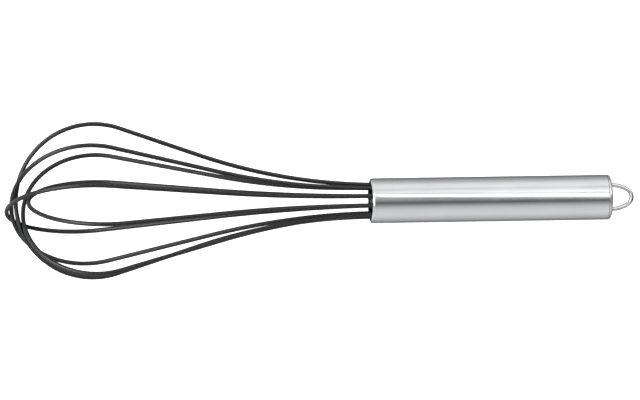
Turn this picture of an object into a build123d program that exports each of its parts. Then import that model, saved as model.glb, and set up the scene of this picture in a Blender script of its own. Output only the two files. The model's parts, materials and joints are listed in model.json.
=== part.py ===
from build123d import *
import os
from math import atan2, cos, degrees, hypot, pi, radians, sin

os.makedirs("parts", exist_ok=True)

# A balloon whisk lying at rest: five coated wire loops in a tube handle with a hanging loop.
# All lengths are millimetres. +X points from the tip to the hanging loop and +Z is up.
# "Ahead" is along the handle's axis towards the tip, counted from the mouth's centre.

# Wire of the loops
core_diameter = 1.2
core_clearance = 0.05
coating_wall = 0.4

# Shape of a loop: straight legs, a flare that curves outwards, a straight run, then a
# round belly and tip
run_length = 50.0
belly_radius = 36.0
tip_reach = 171.0

# The five loops from the outermost in, each with its own shares of the run and the belly.
# Each sits as far ahead as it can inside those before it, with this gap where they cross.
nest_gap = 0.1
run_shares = (1.13, 1.03, 0.80, 1.02, 0.96)
belly_shares = (0.997, 0.994, 1.008, 0.947, 0.936)

# Degrees that each loop is turned about the axis, leans in its own plane and bows out of it
loop_turns = (72.6, 39.5, 9.0, 144.5, 107.1)
loop_leans = (0.2, -0.2, 0.8, 0.7, -0.2)
loop_bows = (0.8, -0.3, -0.4, 2.2, -0.4)

# Handle tube
handle_diameter = 21.2
handle_wall = 0.7
handle_length = 114.0
lip_radius = 1.3

# Holder that spaces the legs, and the block that grips their bare ends
holder_recess = 4.0
holder_length = 12.0
holder_bevel = 0.5
holder_rim_wall = 1.15
coating_inset = 1.0
bore_clearance = 0.05
seat_clearance = 0.05
resin_length = 18.0
resin_cover = 3.0

# End cap
cap_flange = 1.4
cap_edge_round = 1.0
cap_dome = 0.5
cap_skirt_length = 7.0
cap_skirt_wall = 0.8
cap_skirt_bevel = 0.3
cap_seam = 0.05

# Hanging loop
hanger_diameter = 2.0
hanger_leg_inset = 4.95
hanger_leg_out = 4.9
hanger_foot_radius = 1.6
hanger_foot_length = 0.7
hanger_clearance = 0.04

wire_diameter = core_diameter + 2 * (core_clearance + coating_wall)
handle_radius = handle_diameter / 2
tube_bore_radius = handle_radius - handle_wall
tube_length = handle_length - cap_flange - cap_seam
seat_radius = tube_bore_radius - seat_clearance
leg_bore_radius = wire_diameter / 2 + bore_clearance
leg_circle_radius = seat_radius - holder_rim_wall - leg_bore_radius
hanger_bend_radius = handle_radius - hanger_leg_inset
full_turn = 2 * pi


def whisk_axes(tilt, roll):
    """Directions ahead, to the side and up of a whisk whose tip is raised by tilt."""
    ahead = Vector(-cos(tilt), 0, sin(tilt))
    level = Vector(0, 1, 0)
    top = Vector(sin(tilt), 0, cos(tilt))
    side = level * cos(roll) + top * sin(roll)
    up = top * cos(roll) - level * sin(roll)
    return ahead, side, up


def loop_axes(axes, turn, lean, bow):
    """Directions along and across a loop's own plane, from the whisk's directions."""
    ahead, side, up = axes
    across = side * cos(turn) + up * sin(turn)
    out = up * cos(turn) - side * sin(turn)
    forward = ahead * cos(bow) + out * sin(bow)
    along = forward * cos(lean) + across * sin(lean)
    return along, across * cos(lean) - forward * sin(lean)


def ring_reach(direction, centre, along, across, ring_radius, wire_radius):
    """Furthest that a round wire bent to a circle reaches in a direction.

    It is the centre's own reach, plus the ring's radius times the direction's share
    in the ring's plane, plus the wire's radius.
    """
    in_plane = hypot(direction.dot(along), direction.dot(across))
    return direction.dot(centre) + ring_radius * in_plane + wire_radius


def loop_circle(axes, loop):
    """Centre and directions of the circle that a loop's belly and tip follow."""
    along, across = loop_axes(axes, loop["turn"], loop["lean"], loop["bow"])
    return along * (loop["reach"] - loop["radius"]), along, across


def loop_reach(direction, axes, loop):
    """Furthest that a loop's belly and tip reach in a direction, from the mouth's centre."""
    return ring_reach(direction, *loop_circle(axes, loop), loop["radius"], wire_diameter / 2)


def rim_reach(direction, axes):
    """Furthest that the end cap's rounded rim reaches in a direction."""
    ahead, side, up = axes
    centre = ahead * (cap_edge_round - handle_length)
    ring_radius = handle_radius - cap_edge_round
    return ring_reach(direction, centre, side, up, ring_radius, cap_edge_round)


def rising_zero(function, low, high):
    """Value between low and high where a rising function crosses zero, by halving."""
    for _ in range(50):
        middle = (low + high) / 2
        if function(middle) < 0:
            low = middle
        else:
            high = middle
    return (low + high) / 2


def least_value(function, low, high):
    """Least value of a function that has one valley between low and high, by thirds."""
    for _ in range(25):
        third = (high - low) / 3
        if function(low + third) < function(high - third):
            high -= third
        else:
            low += third
    return function((low + high) / 2)


def gap_between(inner, outer):
    """Gap between two loops' wires where the inner one passes behind the outer one's tip.

    A point's distance from a circle is hypot(a, b): a is its height over the circle's
    plane, and b how much further from the centre than the radius it is in that plane.
    """
    centre, along, across = loop_circle(level_axes, inner)
    ring_centre, ring_along, ring_across = loop_circle(level_axes, outer)
    ring_normal = ring_along.cross(ring_across)

    def distance(angle):
        spoke = along * cos(angle) + across * sin(angle)
        point = centre + spoke * inner["radius"] - ring_centre
        in_plane = hypot(point.dot(ring_along), point.dot(ring_across))
        return hypot(point.dot(ring_normal), in_plane - outer["radius"])

    return least_value(distance, -tip_half_angle, tip_half_angle) - wire_diameter


def nested_reach(loop, outer_loops):
    """Reach of a loop that sits as far ahead as it can inside the loops before it."""
    last_reach = outer_loops[-1]["reach"]

    def spare_gap(set_back):
        trial = {**loop, "reach": last_reach - set_back}
        return min(gap_between(trial, outer) for outer in outer_loops) - nest_gap

    return last_reach - rising_zero(spare_gap, 0, 4 * wire_diameter)


level_axes = whisk_axes(0, 0)
tip_half_angle = full_turn / 5
loops = []
for run_share, belly_share, turn, lean, bow in zip(
    run_shares, belly_shares, loop_turns, loop_leans, loop_bows
):
    loop = {
        "radius": belly_radius * belly_share,
        "run": run_length * run_share,
        "reach": tip_reach,
        "turn": radians(turn),
        "lean": radians(lean),
        "bow": radians(bow),
    }
    if loops:
        loop["reach"] = nested_reach(loop, loops)
    loops.append(loop)


def rest_tilt(roll):
    """Tilt at which the cap's rim and the lowest loop touch one level surface."""

    def loops_above_rim(tilt):
        axes = whisk_axes(tilt, roll)
        lowest_loop = max(loop_reach(down, axes, loop) for loop in loops)
        return rim_reach(down, axes) - lowest_loop

    return rising_zero(loops_above_rim, 0, steepest)


def bearing_loops_apart(roll):
    """How much lower the first loop lies than the last one at a roll."""
    axes = whisk_axes(rest_tilt(roll), roll)
    return loop_reach(down, axes, loops[0]) - loop_reach(down, axes, loops[-1])


# At rest the whisk bears on the cap's rim, the outermost loop and the innermost one
down = Vector(0, 0, -1)
steepest = full_turn / 8
roll_limit = full_turn / 36
roll = rising_zero(bearing_loops_apart, -roll_limit, roll_limit)
tilt = rest_tilt(roll)
axes = whisk_axes(tilt, roll)
ahead, side, _ = axes


def whisk_reach(direction):
    """Furthest that the whole whisk reaches in a direction, from the mouth's centre."""
    bend_centre = ahead * -(handle_length + hanger_leg_out)
    bend = ring_reach(
        direction, bend_centre, ahead, side, hanger_bend_radius, hanger_diameter / 2
    )
    return max(bend, rim_reach(direction, axes), *(loop_reach(direction, axes, loop) for loop in loops))


def middle_of(direction):
    """Middle of the whisk's extent along a direction, from the mouth's centre."""
    return (whisk_reach(direction) - whisk_reach(-direction)) / 2


# The origin is the middle of the whisk's footprint, on the surface that it lies on
mouth = Vector(-middle_of(Vector(1, 0, 0)), -middle_of(Vector(0, 1, 0)), whisk_reach(down))
axis = Axis(mouth, ahead)
profile_plane = Plane(mouth, x_dir=ahead, z_dir=ahead.cross(side))
cross_plane = Plane(mouth, x_dir=side, z_dir=ahead)


def loop_plane(loop):
    """Plane of a loop: X runs ahead through its middle and Y across it."""
    along, across = loop_axes(axes, loop["turn"], loop["lean"], loop["bow"])
    return Plane(mouth, x_dir=along, z_dir=along.cross(across))


def draw_loop(loop, leg_depth):
    """Draws a loop's centre line from the end of one leg, round the tip, to the other.

    The flare and the belly are circles on opposite sides of the straight run between
    them. The run and the sum of both radii are the short sides of a right triangle, and
    the distance between both centres is its long side. That gives the flare's radius:
    (gap ahead^2 + leg circle^2 - belly^2 - run^2) / (2 * (belly - leg circle)).
    The flare's angle is atan(gap ahead / gap across) less atan(run / sum of both radii).
    """
    gap_ahead = loop["reach"] - loop["radius"] + holder_recess
    leg_square = gap_ahead**2 + leg_circle_radius**2
    belly_square = loop["radius"] ** 2 + loop["run"] ** 2
    flare_radius = (leg_square - belly_square) / (2 * (loop["radius"] - leg_circle_radius))
    both_radii = loop["radius"] + flare_radius
    centres_angle = atan2(gap_ahead, leg_circle_radius + flare_radius)
    flare = degrees(centres_angle - atan2(loop["run"], both_radii))
    leg = Line((-leg_depth, leg_circle_radius), (-holder_recess, leg_circle_radius))
    flare_out = JernArc(leg @ 1, leg % 1, flare_radius, flare)
    run_out = Line(flare_out @ 1, (flare_out @ 1) + (flare_out % 1) * loop["run"])
    belly = JernArc(run_out @ 1, run_out % 1, loop["radius"], -2 * (90 + flare))
    run_back = Line(belly @ 1, (belly @ 1) + (belly % 1) * loop["run"])
    flare_in = JernArc(run_back @ 1, run_back % 1, flare_radius, flare)
    Line(flare_in @ 1, (-leg_depth, -leg_circle_radius))


def leg_end_plane(plane, leg_depth):
    """Plane across the end of a loop's first leg."""
    start = plane.from_local_coords((-leg_depth, leg_circle_radius))
    return Plane(start, x_dir=plane.y_dir, z_dir=plane.x_dir)


def leg_circles(loop, radius):
    """Two circles across a loop's legs, in the plane of the mouth."""
    plane = loop_plane(loop)
    with BuildSketch(Plane(mouth, x_dir=plane.y_dir, z_dir=plane.x_dir)) as circles:
        with Locations((leg_circle_radius, 0), (-leg_circle_radius, 0)):
            Circle(radius)
    return circles.sketch


# The depths behind the mouth at which the pieces in the handle end
holder_back = holder_recess + holder_length
resin_front = holder_back + seat_clearance
resin_back = resin_front + resin_length
coating_end = holder_back - coating_inset
core_end = resin_back - resin_cover

# Wire loops: a spring steel core, and the coating on it, which ends inside the holder
for number, loop in enumerate(loops, start=1):
    plane = loop_plane(loop)

    with BuildPart() as core:
        with BuildLine(plane):
            draw_loop(loop, core_end)
        with BuildSketch(leg_end_plane(plane, core_end)):
            Circle(core_diameter / 2)
        sweep()
    core.part.label = f"loop_{number}_core"
    export_step(core.part, f"parts/loop_{number}_core.step")

    with BuildPart() as sleeve:
        with BuildLine(plane):
            draw_loop(loop, coating_end)
        with BuildSketch(leg_end_plane(plane, coating_end)):
            Circle(wire_diameter / 2)
            Circle(core_diameter / 2 + core_clearance, mode=Mode.SUBTRACT)
        sweep()
    sleeve.part.label = f"loop_{number}_sleeve"
    export_step(sleeve.part, f"parts/loop_{number}_sleeve.step")

# Wire holder: a plug sunk in the mouth, with a bore for each leg
with BuildPart() as wire_holder:
    with BuildSketch(cross_plane.offset(-holder_recess)):
        Circle(seat_radius)
    extrude(amount=-holder_length)
    chamfer(wire_holder.edges().filter_by(GeomType.CIRCLE), holder_bevel)
    for loop in loops:
        legs = leg_circles(loop, leg_bore_radius)
        extrude(legs, amount=-resin_back, mode=Mode.SUBTRACT)
wire_holder.part.label = "wire_holder"
export_step(wire_holder.part, "parts/wire_holder.step")

# Resin fill: cast behind the holder, round the bare ends of the cores
with BuildPart() as resin_fill:
    with BuildSketch(cross_plane.offset(-resin_front)):
        Circle(seat_radius)
    extrude(amount=-resin_length)
    for loop in loops:
        legs = leg_circles(loop, core_diameter / 2 + core_clearance)
        extrude(legs, amount=-core_end - seat_clearance, mode=Mode.SUBTRACT)
resin_fill.part.label = "resin_fill"
export_step(resin_fill.part, "parts/resin_fill.step")

# Handle tube: thin sheet whose edge curls inwards round the mouth
with BuildPart() as handle_tube:
    with BuildSketch(profile_plane) as tube_profile:
        lip_inner_radius = lip_radius - handle_wall
        lip_end = handle_radius - lip_radius
        edge_break = handle_wall / 3
        with BuildLine():
            outside = Line((-tube_length, handle_radius), (-lip_radius, handle_radius))
            curl = JernArc(outside @ 1, outside % 1, lip_radius, -90)
            edge = Line(curl @ 1, (-handle_wall, lip_end))
            inner_curl = CenterArc((-lip_radius, lip_end), lip_inner_radius, 0, 90)
            inside = Line(inner_curl @ 1, (-tube_length, tube_bore_radius))
            Line(inside @ 1, outside @ 0)
        make_face()
        lip_corners = tube_profile.vertices().sort_by(Axis.X)[-2:]
        fillet(lip_corners, edge_break)
    revolve(axis=axis)
    chamfer(handle_tube.edges().filter_by(GeomType.CIRCLE).group_by(Axis.X)[-1], edge_break)
handle_tube.part.label = "handle_tube"
export_step(handle_tube.part, "parts/handle_tube.step")

# End cap: a shallow domed disc with a skirt pressed into the tube
with BuildPart() as end_cap:
    with BuildSketch(profile_plane):
        flange_front = cap_flange - handle_length
        skirt_front = flange_front + cap_skirt_length
        skirt_inner_radius = seat_radius - cap_skirt_wall
        with BuildLine():
            dome_top = (-handle_length - cap_dome, 0)
            dome = TangentArc(dome_top, (-handle_length, handle_radius - cap_edge_round), tangent=(0, 1))
            rim = CenterArc(
                (cap_edge_round - handle_length, handle_radius - cap_edge_round), cap_edge_round, 180, -90
            )
            Polyline(
                rim @ 1,
                (flange_front, handle_radius),
                (flange_front, seat_radius),
                (skirt_front - cap_skirt_bevel, seat_radius),
                (skirt_front, seat_radius - cap_skirt_bevel),
                (skirt_front, skirt_inner_radius),
                (flange_front, skirt_inner_radius),
                (flange_front, 0),
                dome @ 0,
            )
        make_face()
    revolve(axis=axis)
    with BuildSketch(cross_plane.offset(flange_front)):
        with Locations((hanger_bend_radius, 0), (-hanger_bend_radius, 0)):
            Circle(hanger_diameter / 2 + hanger_clearance)
    extrude(amount=-2 * cap_flange - cap_dome, mode=Mode.SUBTRACT)
end_cap.part.label = "end_cap"
export_step(end_cap.part, "parts/end_cap.step")

# Hanging loop: a bent wire whose legs pass the cap and end in feet turned outwards
with BuildPart() as hanging_loop:
    cap_centre = mouth - ahead * handle_length
    hanger_plane = Plane(cap_centre, x_dir=-ahead, z_dir=(-ahead).cross(side))
    foot_depth = cap_flange + hanger_clearance + hanger_foot_radius
    foot_start = hanger_bend_radius + hanger_foot_radius + hanger_foot_length
    with BuildLine(hanger_plane):
        foot = Line((-foot_depth, foot_start), (-foot_depth, foot_start - hanger_foot_length))
        heel = JernArc(foot @ 1, foot % 1, hanger_foot_radius, 90)
        leg = Line(heel @ 1, (hanger_leg_out, hanger_bend_radius))
        bend = JernArc(leg @ 1, leg % 1, hanger_bend_radius, -180)
        leg_back = Line(bend @ 1, (hanger_foot_radius - foot_depth, -hanger_bend_radius))
        heel_back = JernArc(leg_back @ 1, leg_back % 1, hanger_foot_radius, 90)
        Line(heel_back @ 1, (-foot_depth, -foot_start))
    with BuildSketch(Plane(foot @ 0, x_dir=ahead, z_dir=foot % 0)):
        Circle(hanger_diameter / 2)
    sweep()
hanging_loop.part.label = "hanging_loop"
export_step(hanging_loop.part, "parts/hanging_loop.step")

print(f"tip raised by {degrees(tilt):.2f} degrees, rolled by {degrees(roll):.2f} degrees")
print(f"mouth's centre at {mouth.X:.2f}, {mouth.Y:.2f}, {mouth.Z:.2f}")
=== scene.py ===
# A balloon whisk lying at rest: five coated wire loops in a brushed tube with a hanging loop
import sys
import json
import logging
from dataclasses import dataclass, field
from enum import Enum
from typing import Any

import bpy
import numpy as np
from mathutils import Matrix, Vector


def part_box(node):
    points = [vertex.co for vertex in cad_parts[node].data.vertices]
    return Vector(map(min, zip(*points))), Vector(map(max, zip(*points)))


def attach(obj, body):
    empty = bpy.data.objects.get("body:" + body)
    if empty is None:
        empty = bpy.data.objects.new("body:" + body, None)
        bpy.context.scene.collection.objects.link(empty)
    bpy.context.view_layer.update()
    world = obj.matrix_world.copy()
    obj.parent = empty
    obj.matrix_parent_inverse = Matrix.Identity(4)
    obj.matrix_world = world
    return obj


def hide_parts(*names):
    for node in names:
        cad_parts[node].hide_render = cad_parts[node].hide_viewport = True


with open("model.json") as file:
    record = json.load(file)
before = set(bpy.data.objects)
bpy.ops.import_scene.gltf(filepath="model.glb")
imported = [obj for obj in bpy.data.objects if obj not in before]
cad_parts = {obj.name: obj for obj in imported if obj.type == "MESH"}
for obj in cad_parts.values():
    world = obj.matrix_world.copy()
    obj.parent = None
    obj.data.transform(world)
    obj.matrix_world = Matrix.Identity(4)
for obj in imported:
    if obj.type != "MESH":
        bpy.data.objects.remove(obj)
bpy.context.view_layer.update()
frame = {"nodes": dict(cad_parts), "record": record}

log = logging.getLogger("whisk")

# Metres. "Ahead" is along the handle's axis towards the tip, counted from the mouth's centre.
MILLIMETRE = 0.001
SHARP_ANGLE = 40

Triple = tuple[float, float, float]
Span = tuple[float, float]


class Slot(Enum):
    """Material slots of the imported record, by the finish that fills each."""

    TUBE = "tube_steel"
    CAP = "cap_steel"
    BRIGHT_WIRE = "bright_wire"
    COATING = "coating"
    SPRING = "spring_steel"
    HOLDER = "holder_plastic"
    RESIN = "resin"


def unit(vector: Any) -> np.ndarray:
    """A vector scaled to length 1."""
    vector = np.asarray(vector, float)
    return vector / np.linalg.norm(vector)


def mount(name: str) -> dict[str, Any]:
    """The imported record's mount of this name."""
    return next(entry for entry in frame["record"]["mounts"] if entry["name"] == name)


@dataclass(frozen=True)
class WhiskAxes:
    """Where the whisk lies at rest: its mouth's centre and its three directions.

    The handle's mount gives the axis and its own middle, and the hanging eye's mount
    gives the direction square to the hanging loop, which is the whisk's own up.
    """

    mouth: np.ndarray
    ahead: np.ndarray
    side: np.ndarray
    up: np.ndarray

    @classmethod
    def of_frame(cls, lip_radius: float) -> "WhiskAxes":
        """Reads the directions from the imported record.

        Args:
            lip_radius: Radius of the rolled lip, from which the grip's length starts.

        Returns:
            The mouth's centre and the directions ahead, to the side and up.
        """
        grip = mount("handle_grip")
        ahead = -unit(grip["axis"])
        up = unit(mount("hanging_eye")["axis"])
        half_grip = grip["dims"]["length_mm"] * MILLIMETRE / 2
        mouth = np.asarray(grip["pos_m"]) + ahead * (half_grip + lip_radius)
        return cls(mouth, ahead, np.cross(ahead, up), up)

    def turned_about(self, turn: float, lean: float, bow: float) -> tuple[np.ndarray, np.ndarray]:
        """Directions along and across a loop's own plane.

        Args:
            turn: Radians by which the loop is turned about the whisk's axis.
            lean: Radians by which it leans in its own plane.
            bow: Radians by which it bows out of that plane.

        Returns:
            The direction through the loop's middle and the one across it.
        """
        across = self.side * np.cos(turn) + self.up * np.sin(turn)
        out = self.up * np.cos(turn) - self.side * np.sin(turn)
        forward = self.ahead * np.cos(bow) + out * np.sin(bow)
        along = forward * np.cos(lean) + across * np.sin(lean)
        return along, across * np.cos(lean) - forward * np.sin(lean)

    def handle_turn(self) -> Vector:
        """Euler angles that turn X to run back along the handle."""
        return Matrix((-self.ahead, self.side, np.cross(-self.ahead, self.side))).transposed().to_euler()


@dataclass(frozen=True)
class BentWire:
    """A wire's centre line through a row of knots, made of straight and round stretches.

    Each stretch goes on the way in which the one before ended. It is straight where the
    next knot lies straight ahead. Otherwise it is an arc that turns by twice the angle a
    between that way and the chord, so its radius is the chord's length / (2 sin a).
    """

    heading: np.ndarray
    knots: tuple[np.ndarray, ...]
    step: float = 0.001
    straight: float = 1e-6

    def trace(self) -> tuple[np.ndarray, np.ndarray]:
        """Points and headings along the wire, no further apart than the step.

        A point on an arc is its start plus radius * (sin t * heading + (1 - cos t) *
        inwards), where t is the angle turned so far.

        Returns:
            The points, and the wire's direction at each.
        """
        point, heading = self.knots[0], unit(self.heading)
        points, headings = [point[None]], [heading[None]]
        for knot in self.knots[1:]:
            chord = knot - point
            reach = chord @ heading
            aside = chord - reach * heading
            half_turn = np.arctan2(np.linalg.norm(aside), reach)
            if half_turn < self.straight:
                share = np.linspace(0, 1, int(np.ceil(reach / self.step)) + 1)[1:, None]
                points.append(point + share * chord)
                headings.append(heading + 0 * points[-1])
            else:
                radius = np.linalg.norm(chord) / (2 * np.sin(half_turn))
                count = int(np.ceil(2 * half_turn * radius / self.step))
                turned = np.linspace(0, 2 * half_turn, count + 1)[1:, None]
                inwards = unit(aside)
                points.append(point + radius * (np.sin(turned) * heading + (1 - np.cos(turned)) * inwards))
                headings.append(np.cos(turned) * heading + np.sin(turned) * inwards)
            point, heading = points[-1][-1], headings[-1][-1]
        return np.concatenate(points), np.concatenate(headings)


def arc(centre: tuple[float, float], radius: float, first: float, last: float, count: int) -> np.ndarray:
    """Points on a circle's arc.

    Args:
        centre: The circle's centre.
        radius: The circle's radius.
        first: Degrees of the first point, anticlockwise from the first axis.
        last: Degrees of the last point.
        count: How many points there are.

    Returns:
        The points, each the centre plus the radius times (cos, sin) of its angle.
    """
    angle = np.radians(np.linspace(first, last, count))
    return np.asarray(centre) + radius * np.stack([np.cos(angle), np.sin(angle)], 1)


def surface(
    name: str, grid: np.ndarray, flow: np.ndarray | None = None, poles: bool = False
) -> bpy.types.Object:
    """Makes a closed mesh object from a grid of points.

    The columns always close into rings. The rows close too, which makes a wall with an
    inside and an outside, or end in poles, whose rings have shrunk to a point. A face
    joins points (row, column), (row + 1, column), (row + 1, column + 1) and
    (row, column + 1). The faces are turned over where the signed volume, a sixth of the
    sum of each triangle's triple product, is negative.

    Args:
        name: Name of the piece.
        grid: Points, in rows and columns.
        flow: For each point, its place in the piece's own straightened space.
        poles: Whether the first and the last row are poles.

    Returns:
        The object, at the origin, with its place in its mesh.
    """
    rows, columns = grid.shape[:2]
    place = np.arange(rows * columns).reshape(rows, columns)
    if poles:
        place[0] = place[0, 0]
        place[-1] = place[-1, 0]
    below = np.roll(place, -1, 0)
    quads = np.stack([place, below, np.roll(below, -1, 1), np.roll(place, -1, 1)], -1)
    quads = (quads[:-1] if poles else quads).reshape(-1, 4)
    points = grid.reshape(-1, 3)
    corner = points[quads]
    halves = np.einsum("ij,ij->i", corner[:, 0], np.cross(corner[:, 1], corner[:, 2]))
    halves = halves + np.einsum("ij,ij->i", corner[:, 0], np.cross(corner[:, 2], corner[:, 3]))
    if halves.sum() < 0:
        quads = quads[:, ::-1]
    used, quads = np.unique(quads, return_inverse=True)
    quads = quads.reshape(-1, 4)
    faces = [face[face != np.roll(face, 1)] for face in quads] if poles else quads
    mesh = bpy.data.meshes.new(name)
    mesh.from_pydata(points[used], [], [face.tolist() for face in faces])
    if flow is not None:
        layer = mesh.attributes.new("flow", "FLOAT_VECTOR", "POINT")
        layer.data.foreach_set("vector", flow.reshape(-1, 3)[used].astype(np.float32).ravel())
    mesh.shade_smooth()
    mesh.set_sharp_from_angle(angle=np.radians(SHARP_ANGLE))
    piece = bpy.data.objects.new(name, mesh)
    bpy.context.scene.collection.objects.link(piece)
    return piece


def adopt(piece: bpy.types.Object, node: str, slot: Slot, material: bpy.types.Material) -> None:
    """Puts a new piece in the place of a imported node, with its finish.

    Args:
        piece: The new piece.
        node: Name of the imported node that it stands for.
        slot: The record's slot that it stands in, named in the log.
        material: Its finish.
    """
    piece.data.materials.append(material)
    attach(piece, "root")
    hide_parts(node)
    log.info("%s: new mesh with %d faces, %s", piece.name, len(piece.data.polygons), slot.value)


def dress(node: str, material: bpy.types.Material) -> None:
    """Gives a carried-over node its finish."""
    frame["nodes"][node].material_slots[0].material = material
    log.info("%s: packed mesh, %s", node, material.name)


@dataclass(frozen=True)
class Noise:
    """Soft random values from 0 to 1, with the size of their features in metres."""

    size: Triple
    detail: float = 2.0
    roughness: float = 0.5


class Wiring:
    """A node tree under construction."""

    def __init__(self, tree: bpy.types.NodeTree) -> None:
        """Takes the tree that the nodes go into."""
        self.tree = tree

    def feed(self, node: bpy.types.Node, inputs: dict[Any, Any]) -> None:
        """Links or sets a node's inputs.

        Args:
            node: The node.
            inputs: Sockets by name or number, each with another node's socket or a value.
        """
        for key, value in inputs.items():
            socket = node.inputs[key]
            if isinstance(value, bpy.types.NodeSocket):
                self.tree.links.new(value, socket)
            else:
                socket.default_value = value

    def add(self, kind: str, inputs: dict[Any, Any], **settings: Any) -> bpy.types.NodeSocket:
        """Adds a node.

        Args:
            kind: The node's type.
            inputs: Its inputs, as for feed.
            **settings: Its other settings.

        Returns:
            The node's first output.
        """
        node = self.tree.nodes.new(kind)
        for key, value in settings.items():
            setattr(node, key, value)
        self.feed(node, inputs)
        return node.outputs[0]

    def spread(
        self, value: bpy.types.NodeSocket, low: float, high: float, first: float, last: float
    ) -> bpy.types.NodeSocket:
        """A value from low to high, carried over evenly to first to last and held there."""
        inputs = {"Value": value, "From Min": low, "From Max": high, "To Min": first, "To Max": last}
        return self.add("ShaderNodeMapRange", inputs)

    def combined(self, operation: str, first: Any, second: Any) -> bpy.types.NodeSocket:
        """Two values put together by a Math node's operation."""
        return self.add("ShaderNodeMath", {0: first, 1: second}, operation=operation)

    def tones(self, value: bpy.types.NodeSocket, *stops: tuple[float, Triple]) -> bpy.types.NodeSocket:
        """Colours picked from a ramp.

        Args:
            value: Value from 0 to 1 that picks the place on the ramp.
            *stops: Places on the ramp and their colours, in order.

        Returns:
            The colour.
        """
        node = self.tree.nodes.new("ShaderNodeValToRGB")
        elements = node.color_ramp.elements
        while len(elements) < len(stops):
            elements.new(1)
        for element, (place, colour) in zip(elements, stops):
            element.position = place
            element.color = (*colour, 1)
        self.feed(node, {0: value})
        return node.outputs[0]


class Recipe(Wiring):
    """A material under construction: its nodes, and the shader that they feed."""

    def __init__(self, name: str) -> None:
        """Starts a material with one Principled shader."""
        self.material = bpy.data.materials.new(name)
        self.material.use_nodes = True
        super().__init__(self.material.node_tree)
        self.shader = next(node for node in self.tree.nodes if node.type == "BSDF_PRINCIPLED")

    def object_space(self) -> bpy.types.NodeSocket:
        """The piece's own coordinates, in metres."""
        return self.tree.nodes.new("ShaderNodeTexCoord").outputs["Object"]

    def flow_space(self) -> bpy.types.NodeSocket:
        """The piece's straightened space, in metres: along it, then across it."""
        return self.attribute("flow").outputs["Vector"]

    def attribute(self, name: str) -> bpy.types.Node:
        """The node of a mesh attribute."""
        node = self.tree.nodes.new("ShaderNodeAttribute")
        node.attribute_name = name
        return node

    def placed(
        self, space: bpy.types.NodeSocket, size: Triple, at: Any = (0, 0, 0), turn: Any = (0, 0, 0)
    ) -> bpy.types.NodeSocket:
        """A space that is moved and turned, then measured in steps of a size.

        Args:
            space: The coordinates to start from.
            size: Length of one step along each of the new directions.
            at: Where the new space has its zero.
            turn: How the new space is turned.

        Returns:
            The new coordinates.
        """
        inputs = {"Vector": space, "Location": at, "Rotation": turn, "Scale": size}
        return self.add("ShaderNodeMapping", inputs, vector_type="TEXTURE")

    def noise(
        self, space: bpy.types.NodeSocket, kind: Noise, at: Any = (0, 0, 0), turn: Any = (0, 0, 0)
    ) -> bpy.types.NodeSocket:
        """Noise in a space that is moved and turned, its features about one size long.

        Args:
            space: The coordinates to start from.
            kind: The noise's size and roughness.
            at: Where the noise's own space has its zero.
            turn: How that space is turned.

        Returns:
            The noise's value.
        """
        place = self.placed(space, kind.size, at, turn)
        inputs = {"Vector": place, "Scale": 1.0, "Detail": kind.detail, "Roughness": kind.roughness}
        return self.add("ShaderNodeTexNoise", inputs)

    def mean(self, first: bpy.types.NodeSocket, second: bpy.types.NodeSocket) -> bpy.types.NodeSocket:
        """Half of the sum of two values."""
        return self.combined("MULTIPLY", self.combined("ADD", first, second), 0.5)

    def graded(
        self, value: bpy.types.NodeSocket, span: Span, dark: Triple, light: Triple
    ) -> bpy.types.NodeSocket:
        """A colour that goes from dark to light while the value goes over the span."""
        return self.tones(value, (span[0], dark), (span[1], light))

    def relief(self, height: bpy.types.NodeSocket, depth: float, over: Any = None) -> bpy.types.NodeSocket:
        """Normals of a fine relief.

        Args:
            height: Height from 0 to 1.
            depth: Height of 1 in metres.
            over: Normals of a relief under this one, if there is one.

        Returns:
            The normals.
        """
        inputs = {"Strength": 1.0, "Distance": depth, "Height": height}
        if over is not None:
            inputs["Normal"] = over
        return self.add("ShaderNodeBump", inputs)


def grey(level: float, blue: float = 0.0) -> Triple:
    """A grey of this level, with its blue raised and its red lowered by a share of it."""
    return level * (1 - blue), level, level * (1 + blue)


@dataclass(frozen=True)
class BrushedSteel:
    """Stainless steel brushed along the handle, with faint rubbed patches."""

    name: str
    at: np.ndarray
    turn: Any
    level: float = 0.70
    level_change: float = 0.03
    blue: float = 0.012
    span: Span = (0.35, 0.65)
    gloss: Span = (0.10, 0.18)
    streak: Noise = Noise((0.024, 0.00045, 0.00045), 3.0, 0.6)
    hairline: Noise = Noise((0.012, 0.00016, 0.00016), 1.0)
    patch: Noise = Noise((0.018, 0.007, 0.007))
    streak_depth: float = 0.0000022
    hairline_depth: float = 0.0000008

    def build(self) -> bpy.types.Material:
        """Streaks and hairlines are noise drawn out along the handle. The streaks and the
        patches change the colour and the gloss, and the streaks and hairlines the relief.

        Returns:
            The material.
        """
        recipe = Recipe(self.name)
        space = recipe.object_space()
        streaks = recipe.noise(space, self.streak, self.at, self.turn)
        hairlines = recipe.noise(space, self.hairline, self.at, self.turn)
        patches = recipe.noise(space, self.patch, self.at, self.turn)
        mixed = recipe.mean(streaks, patches)
        dark = grey(self.level - self.level_change, self.blue)
        light = grey(self.level + self.level_change, self.blue)
        under = recipe.relief(hairlines, self.hairline_depth)
        inputs = {
            "Base Color": recipe.graded(mixed, self.span, dark, light),
            "Metallic": 1.0,
            "Roughness": recipe.spread(mixed, *self.span, *self.gloss),
            "Normal": recipe.relief(streaks, self.streak_depth, under),
        }
        recipe.feed(recipe.shader, inputs)
        return recipe.material


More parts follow.
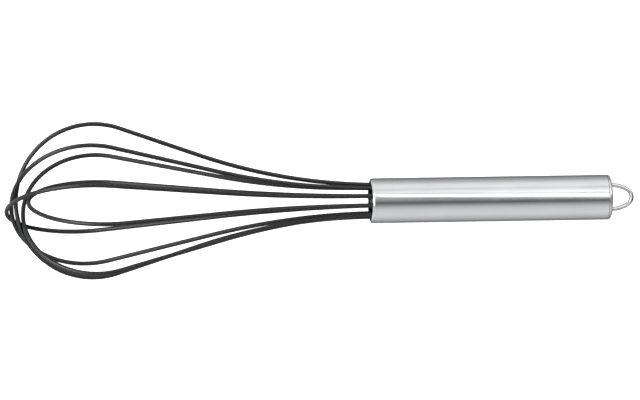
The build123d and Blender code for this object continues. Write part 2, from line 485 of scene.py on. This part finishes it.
@dataclass(frozen=True)
class TurnedSteel:
    """Stainless steel whose brushing runs in rings about the handle's axis, as on a pressed cap."""

    name: str
    at: np.ndarray
    turn: Any
    level: float = 0.69
    level_change: float = 0.03
    blue: float = 0.012
    span: Span = (0.35, 0.65)
    gloss: Span = (0.16, 0.26)
    ring: Noise = Noise((0.00035, 1, 1), 3.0, 0.6)
    scuff: Noise = Noise((0.004, 0.004, 0.004), 3.0)
    ring_depth: float = 0.0000015

    def build(self) -> bpy.types.Material:
        """The rings are noise read at the distance from the axis.

        Returns:
            The material.
        """
        recipe = Recipe(self.name)
        space = recipe.placed(recipe.object_space(), (1, 1, 1), self.at, self.turn)
        across = recipe.add("ShaderNodeVectorMath", {0: space, 1: (0, 1, 1)}, operation="MULTIPLY")
        distance = recipe.tree.nodes.new("ShaderNodeVectorMath")
        distance.operation = "LENGTH"
        recipe.feed(distance, {0: across})
        along = recipe.add("ShaderNodeCombineXYZ", {"X": distance.outputs["Value"]})
        rings = recipe.noise(along, self.ring)
        mixed = recipe.mean(rings, recipe.noise(space, self.scuff))
        dark = grey(self.level - self.level_change, self.blue)
        light = grey(self.level + self.level_change, self.blue)
        inputs = {
            "Base Color": recipe.graded(mixed, self.span, dark, light),
            "Metallic": 1.0,
            "Roughness": recipe.spread(mixed, *self.span, *self.gloss),
            "Normal": recipe.relief(rings, self.ring_depth),
        }
        recipe.feed(recipe.shader, inputs)
        return recipe.material


@dataclass(frozen=True)
class SatinCoating:
    """Charcoal silicone on a wire: satin, faintly mottled, with drag lines along it."""

    name: str = "satin_coating"
    dark: float = 0.003
    light: float = 0.012
    blue: float = 0.02
    colour_span: Span = (0.36, 0.64)
    gloss: Span = (0.24, 0.36)
    gloss_span: Span = (0.3, 0.7)
    refraction: float = 1.48
    mottle: Noise = Noise((0.0016, 0.0008, 0.0008), 4.0, 0.6)
    drag: Noise = Noise((0.011, 0.00035, 0.00035), 2.0, 0.6)
    grain: Noise = Noise((0.00022, 0.00022, 0.00022), 2.0, 0.6)
    drag_depth: float = 0.000012
    grain_depth: float = 0.000004

    def build(self) -> bpy.types.Material:
        """Mottling, drag lines and grain are noises in the wire's straightened space.

        Returns:
            The material.
        """
        recipe = Recipe(self.name)
        space = recipe.flow_space()
        mottle = recipe.noise(space, self.mottle)
        drag = recipe.noise(space, self.drag)
        grain = recipe.noise(space, self.grain)
        mixed = recipe.mean(mottle, drag)
        dark, light = grey(self.dark, self.blue), grey(self.light, self.blue)
        inputs = {
            "Base Color": recipe.graded(mixed, self.colour_span, dark, light),
            "Roughness": recipe.spread(mottle, *self.gloss_span, *self.gloss),
            "IOR": self.refraction,
            "Normal": recipe.relief(drag, self.drag_depth, recipe.relief(grain, self.grain_depth)),
        }
        recipe.feed(recipe.shader, inputs)
        return recipe.material


@dataclass(frozen=True)
class DrawnWire:
    """Bare metal wire with the fine lines that drawing leaves along it."""

    name: str
    level: float
    gloss: Span
    dark_share: float = 0.93
    span: Span = (0.3, 0.7)
    line: Noise = Noise((0.006, 0.00018, 0.00018), 3.0, 0.6)
    speckle: Noise = Noise((0.00018, 0.00018, 0.00018), 3.0, 0.6)
    line_depth: float = 0.000001

    def build(self, own_space: bool) -> bpy.types.Material:
        """Drawing lines are noise drawn out along the wire.

        Args:
            own_space: Whether the piece has its straightened space. The others take
                a short speckle in object space.

        Returns:
            The material.
        """
        recipe = Recipe(self.name)
        if own_space:
            lines = recipe.noise(recipe.flow_space(), self.line)
        else:
            lines = recipe.noise(recipe.object_space(), self.speckle)
        dark, light = grey(self.level * self.dark_share), grey(self.level)
        inputs = {
            "Base Color": recipe.graded(lines, self.span, dark, light),
            "Metallic": 1.0,
            "Roughness": recipe.spread(lines, *self.span, *self.gloss),
            "Normal": recipe.relief(lines, self.line_depth),
        }
        recipe.feed(recipe.shader, inputs)
        return recipe.material


@dataclass(frozen=True)
class MouldedPlastic:
    """Matt moulded or cast material with a fine grain and cloudy patches."""

    name: str
    dark: Triple
    light: Triple
    gloss: Span = (0.5, 0.65)
    colour_span: Span = (0.35, 0.65)
    gloss_span: Span = (0.3, 0.7)
    cloud: Noise = Noise((0.003, 0.003, 0.003), 3.0)
    grain: Noise = Noise((0.00025, 0.00025, 0.00025))
    grain_depth: float = 0.00001

    def build(self) -> bpy.types.Material:
        """Cloudy noise sets the colour and the gloss, and a finer one the relief.

        Returns:
            The material.
        """
        recipe = Recipe(self.name)
        space = recipe.object_space()
        clouds = recipe.noise(space, self.cloud)
        inputs = {
            "Base Color": recipe.graded(clouds, self.colour_span, self.dark, self.light),
            "Roughness": recipe.spread(clouds, *self.gloss_span, *self.gloss),
            "Normal": recipe.relief(recipe.noise(space, self.grain), self.grain_depth),
        }
        recipe.feed(recipe.shader, inputs)
        return recipe.material


@dataclass(frozen=True)
class WireLoop:
    """One loop of coated wire: straight legs, a flare, a straight run, a round belly and tip.

    Lengths are metres and angles degrees. The loop's reach, from the mouth's centre to
    the middle of the wire at the tip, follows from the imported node's box.
    """

    number: int
    run_share: float
    belly_share: float
    turn: float
    lean: float
    bow: float
    run_length: float = 0.050
    belly_radius: float = 0.036
    leg_circle: float = 0.0076
    leg_front: float = 0.004
    leg_back: float = 0.015
    wire_radius: float = 0.00105
    bore_radius: float = 0.00065
    sides: int = 32

    @property
    def node(self) -> str:
        """Name of the coating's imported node."""
        return f"loop_{self.number}_sleeve"

    @property
    def run(self) -> float:
        """Length of the straight run on each side."""
        return self.run_length * self.run_share

    @property
    def belly(self) -> float:
        """Radius of the round that makes the belly and the tip."""
        return self.belly_radius * self.belly_share

    def directions(self, axes: WhiskAxes) -> tuple[np.ndarray, np.ndarray]:
        """Directions along and across the loop's plane."""
        return axes.turned_about(*np.radians([self.turn, self.lean, self.bow]))

    def reach(self, axes: WhiskAxes) -> float:
        """How far ahead of the mouth's centre the middle of the wire reaches.

        The box's low X is where the belly's circle reaches furthest: its centre, less
        the radius times the length of X's share in the loop's plane, less the wire's
        radius. The centre lies the reach less the radius along the loop's middle.

        Args:
            axes: The whisk's directions.

        Returns:
            The reach.
        """
        along, across = self.directions(axes)
        low_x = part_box(self.node)[0].x
        in_plane = np.hypot(along[0], across[0])
        centre_x = low_x + self.belly * in_plane + self.wire_radius
        return self.belly + (centre_x - axes.mouth[0]) / along[0]

    def half(self, axes: WhiskAxes, way: int) -> list[np.ndarray]:
        """Knots of one half: leg end, flare start, run start and run end.

        The flare and the belly are circles on opposite sides of the straight run. The
        run and the sum of both radii are the short sides of a right triangle whose long
        side joins both centres, which gives the flare's radius and angle.

        Args:
            axes: The whisk's directions.
            way: 1 or -1, for the half on that side of the loop's middle.

        Returns:
            The knots, in order.
        """
        along, across = self.directions(axes)
        gap_ahead = self.reach(axes) - self.belly + self.leg_front
        leg_square = gap_ahead**2 + self.leg_circle**2
        belly_square = self.belly**2 + self.run**2
        flare_radius = (leg_square - belly_square) / (2 * (self.belly - self.leg_circle))
        centres_angle = np.arctan2(gap_ahead, self.leg_circle + flare_radius)
        flare = centres_angle - np.arctan2(self.run, self.belly + flare_radius)
        run_ahead = flare_radius * np.sin(flare) - self.leg_front
        run_across = self.leg_circle + flare_radius * (1 - np.cos(flare))
        places = [
            (-self.leg_back, self.leg_circle),
            (-self.leg_front, self.leg_circle),
            (run_ahead, run_across),
            (run_ahead + self.run * np.cos(flare), run_across + self.run * np.sin(flare)),
        ]
        return [axes.mouth + ahead * along + aside * way * across for ahead, aside in places]

    def build(self, axes: WhiskAxes) -> bpy.types.Object:
        """Carries the coating's two circles along the centre line and joins their ends.

        Args:
            axes: The whisk's directions.

        Returns:
            The coating.
        """
        knots = (*self.half(axes, 1), *self.half(axes, -1)[::-1])
        along, across = self.directions(axes)
        line, headings = BentWire(along, knots).trace()
        normal = np.cross(along, across)
        outside = swept(line, headings, normal, self.wire_radius, self.sides)
        inside = swept(line, headings, normal, self.bore_radius, self.sides)
        flow = straightened(line, self.wire_radius, self.sides)
        return surface(
            f"{self.node}_dressed",
            np.concatenate([outside, inside[::-1]]),
            np.concatenate([flow, flow[::-1]]) + np.array([self.number, 0, 0]),
        )


def swept(
    line: np.ndarray, headings: np.ndarray, normal: np.ndarray, radius: float, sides: int
) -> np.ndarray:
    """A circle carried along a line that stays near one plane.

    A point is the line's point plus the radius times (cos a, sin a), measured along the
    line's left-hand side and the plane's normal, both made square to the heading.

    Args:
        line: Points of the line.
        headings: The line's direction at each point.
        normal: The plane's normal.
        radius: The circle's radius.
        sides: Points round the circle.

    Returns:
        The surface's points, one row for each point of the line.
    """
    angle = np.linspace(0, 2 * np.pi, sides, endpoint=False)
    left = np.cross(normal, headings)
    left /= np.linalg.norm(left, axis=1)[:, None]
    square = np.cross(headings, left)
    spokes = left[:, None] * np.cos(angle)[None, :, None] + square[:, None] * np.sin(angle)[None, :, None]
    return line[:, None] + radius * spokes


def straightened(line: np.ndarray, radius: float, sides: int) -> np.ndarray:
    """A swept wire's own space: the length along it, then the place in its section.

    The place is the radius times (cos a, sin a), with the angles that swept uses.

    Args:
        line: Points of the wire's centre line.
        radius: The wire's radius.
        sides: Points round the circle.

    Returns:
        The places, one row for each point of the line.
    """
    angle = np.linspace(0, 2 * np.pi, sides, endpoint=False)
    steps = np.linalg.norm(np.diff(line, axis=0), axis=1)
    length = np.concatenate([[0], np.cumsum(steps)])
    flow = np.empty((len(line), sides, 3))
    flow[..., 0] = length[:, None]
    flow[..., 1] = radius * np.cos(angle)
    flow[..., 2] = radius * np.sin(angle)
    return flow


def revolved(axes: WhiskAxes, profile: np.ndarray, sides: int) -> np.ndarray:
    """A profile turned about the handle's axis.

    Args:
        axes: The whisk's directions.
        profile: Points, each its place ahead of the mouth and its distance from the axis.
        sides: Copies of the profile round the axis.

    Returns:
        The surface's points: the axis point plus the distance times (cos a, sin a),
        measured to the side and up.
    """
    angle = np.linspace(0, 2 * np.pi, sides, endpoint=False)
    spokes = np.cos(angle)[:, None] * axes.side + np.sin(angle)[:, None] * axes.up
    centres = axes.mouth + profile[:, :1] * axes.ahead
    return centres[:, None] + profile[:, 1, None, None] * spokes


@dataclass(frozen=True)
class Handle:
    """The tube with its rolled lip, its end cap, and the hanging loop in the cap."""

    length: float = 0.114
    radius: float = 0.0106
    wall: float = 0.0007
    lip_radius: float = 0.0013
    cap_flange: float = 0.0014
    cap_seam: float = 0.00005
    edge_break: float = 0.00023
    tube_rows: int = 40
    sides: int = 224
    hanger_radius: float = 0.001
    hanger_leg: float = 0.00565
    hanger_out: float = 0.00095
    hanger_side: float = 0.014
    hanger_tip: float = 0.0039
    foot_bend: float = 0.0016
    foot_length: float = 0.0007
    foot_clearance: float = 0.00004
    hanger_sides: int = 40
    hanger_step: float = 0.0003
    lip_points: int = 20
    curl_points: int = 12
    break_points: int = 5

    def tube_profile(self) -> np.ndarray:
        """The tube's section: outside, round the lip, its edge, and back along the bore.

        Returns:
            Points, each its place ahead of the mouth and its distance from the axis.
        """
        back = self.cap_flange + self.cap_seam - self.length
        lip_end = self.radius - self.lip_radius
        inner_curl = self.lip_radius - self.wall
        bore = self.radius - self.wall
        half_break = self.edge_break
        outside = np.stack(
            [
                np.linspace(back + half_break, -self.lip_radius, self.tube_rows),
                np.full(self.tube_rows, self.radius),
            ],
            1,
        )
        lip = arc((-self.lip_radius, lip_end), self.lip_radius, 90, 0, self.lip_points)[1:]
        outer_round = arc((-half_break, lip_end), half_break, 0, -90, self.break_points)[1:]
        inner_round = arc((-self.wall + half_break, lip_end), half_break, -90, -180, self.break_points)[:-1]
        curl = arc((-self.lip_radius, lip_end), inner_curl, 0, 90, self.curl_points)
        corner = [(back + half_break, bore), (back, bore + half_break), (back, self.radius - half_break)]
        return np.concatenate([outside, lip, outer_round, inner_round, curl, corner])

    def build_tube(self, axes: WhiskAxes) -> bpy.types.Object:
        """Turns the tube's section about the axis."""
        return surface("handle_tube_dressed", revolved(axes, self.tube_profile(), self.sides))

    def hanger_half(self) -> np.ndarray:
        """Knots of half the hanging loop, as (out of the cap, from its middle): foot to tip.

        The side's arc and the tip's arc meet where the side has turned by the angle
        whose cosine is (side radius - leg's distance) / (side radius - tip radius).

        Returns:
            The knots, in order.
        """
        depth = self.cap_flange + self.foot_clearance + self.foot_bend
        foot = self.hanger_leg + self.foot_bend
        turn = np.arccos((self.hanger_side - self.hanger_leg) / (self.hanger_side - self.hanger_tip))
        side_out = self.hanger_out + self.hanger_side * np.sin(turn)
        side_height = self.hanger_leg - self.hanger_side * (1 - np.cos(turn))
        tip = self.hanger_out + (self.hanger_side - self.hanger_tip) * np.sin(turn) + self.hanger_tip
        return np.array(
            [
                (-depth, foot + self.foot_length),
                (-depth, foot),
                (self.foot_bend - depth, self.hanger_leg),
                (self.hanger_out, self.hanger_leg),
                (side_out, side_height),
                (tip, 0),
            ]
        )

    def build_hanger(self, axes: WhiskAxes) -> bpy.types.Object:
        """Bends the hanging loop's wire from one foot round the eye to the other.

        Args:
            axes: The whisk's directions.

        Returns:
            The hanging loop.
        """
        half = self.hanger_half()
        whole = np.concatenate([half, half[-2::-1] * (1, -1)])
        cap_centre = axes.mouth - axes.ahead * self.length
        knots = cap_centre - whole[:, :1] * axes.ahead + whole[:, 1:] * axes.side
        line, headings = BentWire(-axes.side, tuple(knots), step=self.hanger_step).trace()
        skin = swept(line, headings, axes.up, self.hanger_radius, self.hanger_sides)
        first = np.broadcast_to(skin[0].mean(0), skin[0].shape)[None]
        last = np.broadcast_to(skin[-1].mean(0), skin[-1].shape)[None]
        flow = straightened(line, self.hanger_radius, self.hanger_sides)
        grid = np.concatenate([first, skin, last])
        return surface("hanging_loop_dressed", grid, np.concatenate([flow[:1], flow, flow[-1:]]), poles=True)

    def build(self, axes: WhiskAxes) -> None:
        """Builds the handle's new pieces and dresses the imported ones.

        Args:
            axes: The whisk's directions.
        """
        turn = axes.handle_turn()
        tube_steel = BrushedSteel("brushed_tube_steel", axes.mouth, turn).build()
        cap_steel = TurnedSteel("turned_cap_steel", axes.mouth, turn).build()
        chrome = DrawnWire("bright_drawn_wire", level=0.62, gloss=(0.05, 0.10)).build(own_space=True)
        adopt(self.build_tube(axes), "handle_tube", Slot.TUBE, tube_steel)
        adopt(self.build_hanger(axes), "hanging_loop", Slot.BRIGHT_WIRE, chrome)
        dress("end_cap", cap_steel)


@dataclass(frozen=True)
class WireHead:
    """The five nested loops with their cores, and what holds them in the mouth."""

    loops: tuple[WireLoop, ...] = (
        WireLoop(1, run_share=1.13, belly_share=0.997, turn=72.6, lean=0.2, bow=0.8),
        WireLoop(2, run_share=1.03, belly_share=0.994, turn=39.5, lean=-0.2, bow=-0.3),
        WireLoop(3, run_share=0.80, belly_share=1.008, turn=9.0, lean=0.8, bow=-0.4),
        WireLoop(4, run_share=1.02, belly_share=0.947, turn=144.5, lean=0.7, bow=2.2),
        WireLoop(5, run_share=0.96, belly_share=0.936, turn=107.1, lean=-0.2, bow=-0.4),
    )

    def build(self, axes: WhiskAxes) -> None:
        """Builds the coatings and dresses the cores, the holder and the resin.

        Args:
            axes: The whisk's directions.
        """
        coating = SatinCoating().build()
        spring = DrawnWire("spring_wire", level=0.45, gloss=(0.28, 0.4)).build(own_space=False)
        for loop in self.loops:
            adopt(loop.build(axes), loop.node, Slot.COATING, coating)
            dress(f"loop_{loop.number}_core", spring)
        holder = MouldedPlastic("matt_holder", dark=grey(0.012), light=grey(0.022))
        resin = MouldedPlastic(
            "cast_resin",
            dark=(0.25, 0.17, 0.07),
            light=(0.38, 0.27, 0.12),
            gloss=(0.2, 0.35),
            cloud=Noise((0.005, 0.005, 0.005), 3.0),
        )
        dress("wire_holder", holder.build())
        dress("resin_fill", resin.build())


@dataclass(frozen=True)
class SoftBox:
    """A glowing panel overhead, brightest in its middle, with soft edges.

    The glow at a point is the product of two smooth steps, one for each direction, of
    the distance to the nearer edge over the soft margin.
    """

    name: str
    corner: Triple
    length: float
    width: float
    swing: float
    glow: float
    margin: float
    grid: int = 40

    def build(self) -> None:
        """Makes the panel as a grid that faces down, with its glow as an attribute."""
        share = np.linspace(0, 1, self.grid)
        run, reach = np.meshgrid(share * self.length, share * self.width, indexing="ij")
        swing = np.radians(self.swing)
        ahead = np.array([np.cos(swing), np.sin(swing), 0])
        left = np.array([-np.sin(swing), np.cos(swing), 0])
        points = np.asarray(self.corner) + run[..., None] * ahead + reach[..., None] * left
        edge_run = np.minimum(run, self.length - run) / self.margin
        edge_reach = np.minimum(reach, self.width - reach) / self.margin
        fade = [np.clip(edge, 0, 1) for edge in (edge_run, edge_reach)]
        glow = self.glow * np.prod([edge * edge * (3 - 2 * edge) for edge in fade], axis=0)
        place = np.arange(self.grid**2).reshape(self.grid, self.grid)
        quads = np.stack([place[:-1, :-1], place[:-1, 1:], place[1:, 1:], place[1:, :-1]], -1)
        mesh = bpy.data.meshes.new(self.name)
        mesh.from_pydata(points.reshape(-1, 3), [], quads.reshape(-1, 4).tolist())
        layer = mesh.attributes.new("glow", "FLOAT", "POINT")
        layer.data.foreach_set("value", glow.astype(np.float32).ravel())
        mesh.materials.append(self.material())
        panel = bpy.data.objects.new(self.name, mesh)
        bpy.context.scene.collection.objects.link(panel)
        panel.visible_camera = False

    def material(self) -> bpy.types.Material:
        """A surface that only glows.

        Returns:
            The material.
        """
        recipe = Recipe(self.name)
        glow = recipe.add("ShaderNodeEmission", {"Strength": recipe.attribute("glow").outputs["Fac"]})
        output = next(node for node in recipe.tree.nodes if node.type == "OUTPUT_MATERIAL")
        recipe.feed(output, {"Surface": glow})
        recipe.tree.nodes.remove(recipe.shader)
        return recipe.material


@dataclass(frozen=True)
class Studio:
    """A plain pale floor, soft light from above and the camera that looks down.

    The sky is a list of (degrees across from straight up, level). The contrast is the
    span of X over which the sky's power goes from its first value to its second. Each
    side is the X where it starts, the X where it is full, and its level.
    """

    floor_size: float = 12.0
    floor_level: float = 0.80
    floor_glow: float = 0.75
    floor_roughness: float = 0.9
    sky: tuple[tuple[float, float], ...] = (
        (-180, 0.05),
        (-150, 0.14),
        (-125, 0.42),
        (-108, 0.60),
        (-85, 0.84),
        (-60, 0.82),
        (-42, 0.66),
        (-30, 0.42),
        (-23, 0.24),
        (-16, 0.11),
        (-9, 0.14),
        (0, 0.30),
        (12, 0.50),
        (18, 1.15),
        (26, 1.60),
        (36, 1.50),
        (47, 1.15),
        (58, 0.92),
        (70, 1.15),
        (86, 1.05),
        (105, 0.60),
        (125, 0.35),
        (150, 0.14),
        (180, 0.06),
    )
    contrast: tuple[float, float, float, float] = (0.22, 0.38, 0.8, 1.5)
    left_light: Triple = (-0.30, -0.70, 1.0)
    right_dark: Triple = (0.80, 0.95, 0.05)
    camera_at: Triple = (-0.040847, 0.008222, 2.49734)
    camera_aim: Triple = (-0.000057, -0.001296, 0)
    camera_swing: float = -0.868
    lens: float = 296.3
    boxes: tuple[SoftBox, ...] = (
        SoftBox(
            "handle_softbox",
            corner=(-0.026, 0.762, 1.0),
            length=1.45,
            width=0.27,
            swing=-63.4,
            glow=1.8,
            margin=0.08,
        ),
        SoftBox(
            "wire_softbox",
            corner=(-1.7, -0.55, 1.0),
            length=1.5,
            width=1.45,
            swing=0.0,
            glow=5.0,
            margin=0.15,
        ),
    )

    def build_floor(self) -> None:
        """A flat pale floor that the steel doesn't mirror and that casts no light upwards."""
        half = self.floor_size / 2
        corners = [(-half, -half, 0), (half, -half, 0), (half, half, 0), (-half, half, 0)]
        mesh = bpy.data.meshes.new("floor")
        mesh.from_pydata(corners, [], [(0, 1, 2, 3)])
        recipe = Recipe("pale_floor")
        inputs = {
            "Base Color": (*grey(self.floor_level), 1),
            "Roughness": self.floor_roughness,
            "Emission Color": (1, 1, 1, 1),
            "Emission Strength": self.floor_glow,
        }
        recipe.feed(recipe.shader, inputs)
        mesh.materials.append(recipe.material)
        floor = bpy.data.objects.new("floor", mesh)
        bpy.context.scene.collection.objects.link(floor)
        floor.visible_glossy = False
        floor.visible_diffuse = False

    def build_sky(self) -> None:
        """Light like long panels that run along X: it depends on the angle across.

        The angle is that of the direction's (Y, Z) from straight up, atan2(y, z), and
        it is counted in turns from -1/2 to 1/2 for the ramp. Along the handle the ramp is
        raised to a power, which grows with the direction's X and gives its far end the
        stronger contrast. The sky ends in a light side at -X and a dark one at +X.
        """
        world = bpy.data.worlds.new("studio")
        world.use_nodes = True
        bpy.context.scene.world = world
        wiring = Wiring(world.node_tree)
        nodes = world.node_tree.nodes
        parts = nodes.new("ShaderNodeSeparateXYZ")
        wiring.feed(parts, {0: nodes.new("ShaderNodeTexCoord").outputs["Generated"]})
        across = wiring.combined("ARCTAN2", parts.outputs["Y"], parts.outputs["Z"])
        turn = wiring.spread(across, -np.pi, np.pi, 0, 1)
        ramp = wiring.tones(turn, *(((angle + 180) / 360, grey(level)) for angle, level in self.sky))
        level = wiring.combined("POWER", ramp, wiring.spread(parts.outputs["X"], *self.contrast))
        for start, end, side_level in (self.left_light, self.right_dark):
            inputs = {"Value": parts.outputs["X"], "From Min": start, "From Max": end}
            share = wiring.add("ShaderNodeMapRange", inputs, interpolation_type="SMOOTHSTEP")
            level = wiring.add("ShaderNodeMix", {0: share, 2: level, 3: side_level})
        background = next(node for node in nodes if node.type == "BACKGROUND")
        wiring.feed(background, {"Color": level})

    def build_camera(self) -> None:
        """A long lens over the whisk, turned so that the picture's right is near +X."""
        data = bpy.data.cameras.new("camera")
        data.lens = self.lens
        data.clip_end = 4 * self.floor_size
        camera = bpy.data.objects.new("camera", data)
        bpy.context.scene.collection.objects.link(camera)
        away = unit(np.subtract(self.camera_at, self.camera_aim))
        swing = np.radians(self.camera_swing)
        right = np.array([np.cos(swing), np.sin(swing), 0])
        right = unit(right - away * (right @ away))
        turn = Matrix(np.stack([right, np.cross(away, right), away], 1).tolist()).to_4x4()
        camera.matrix_world = Matrix.Translation(self.camera_at) @ turn
        bpy.context.scene.camera = camera

    def build(self) -> None:
        """Sets up the floor, the light and the camera."""
        self.build_floor()
        self.build_sky()
        for box in self.boxes:
            box.build()
        self.build_camera()
        bpy.context.scene.view_settings.view_transform = "Standard"


def main() -> None:
    """Builds the whisk's sub-assemblies and the studio round them."""
    logging.basicConfig(level=logging.INFO, format="%(name)s: %(message)s", stream=sys.stdout)
    handle = Handle()
    axes = WhiskAxes.of_frame(handle.lip_radius)
    handle.build(axes)
    WireHead().build(axes)
    Studio().build()


if __name__ == "__main__":
    main()
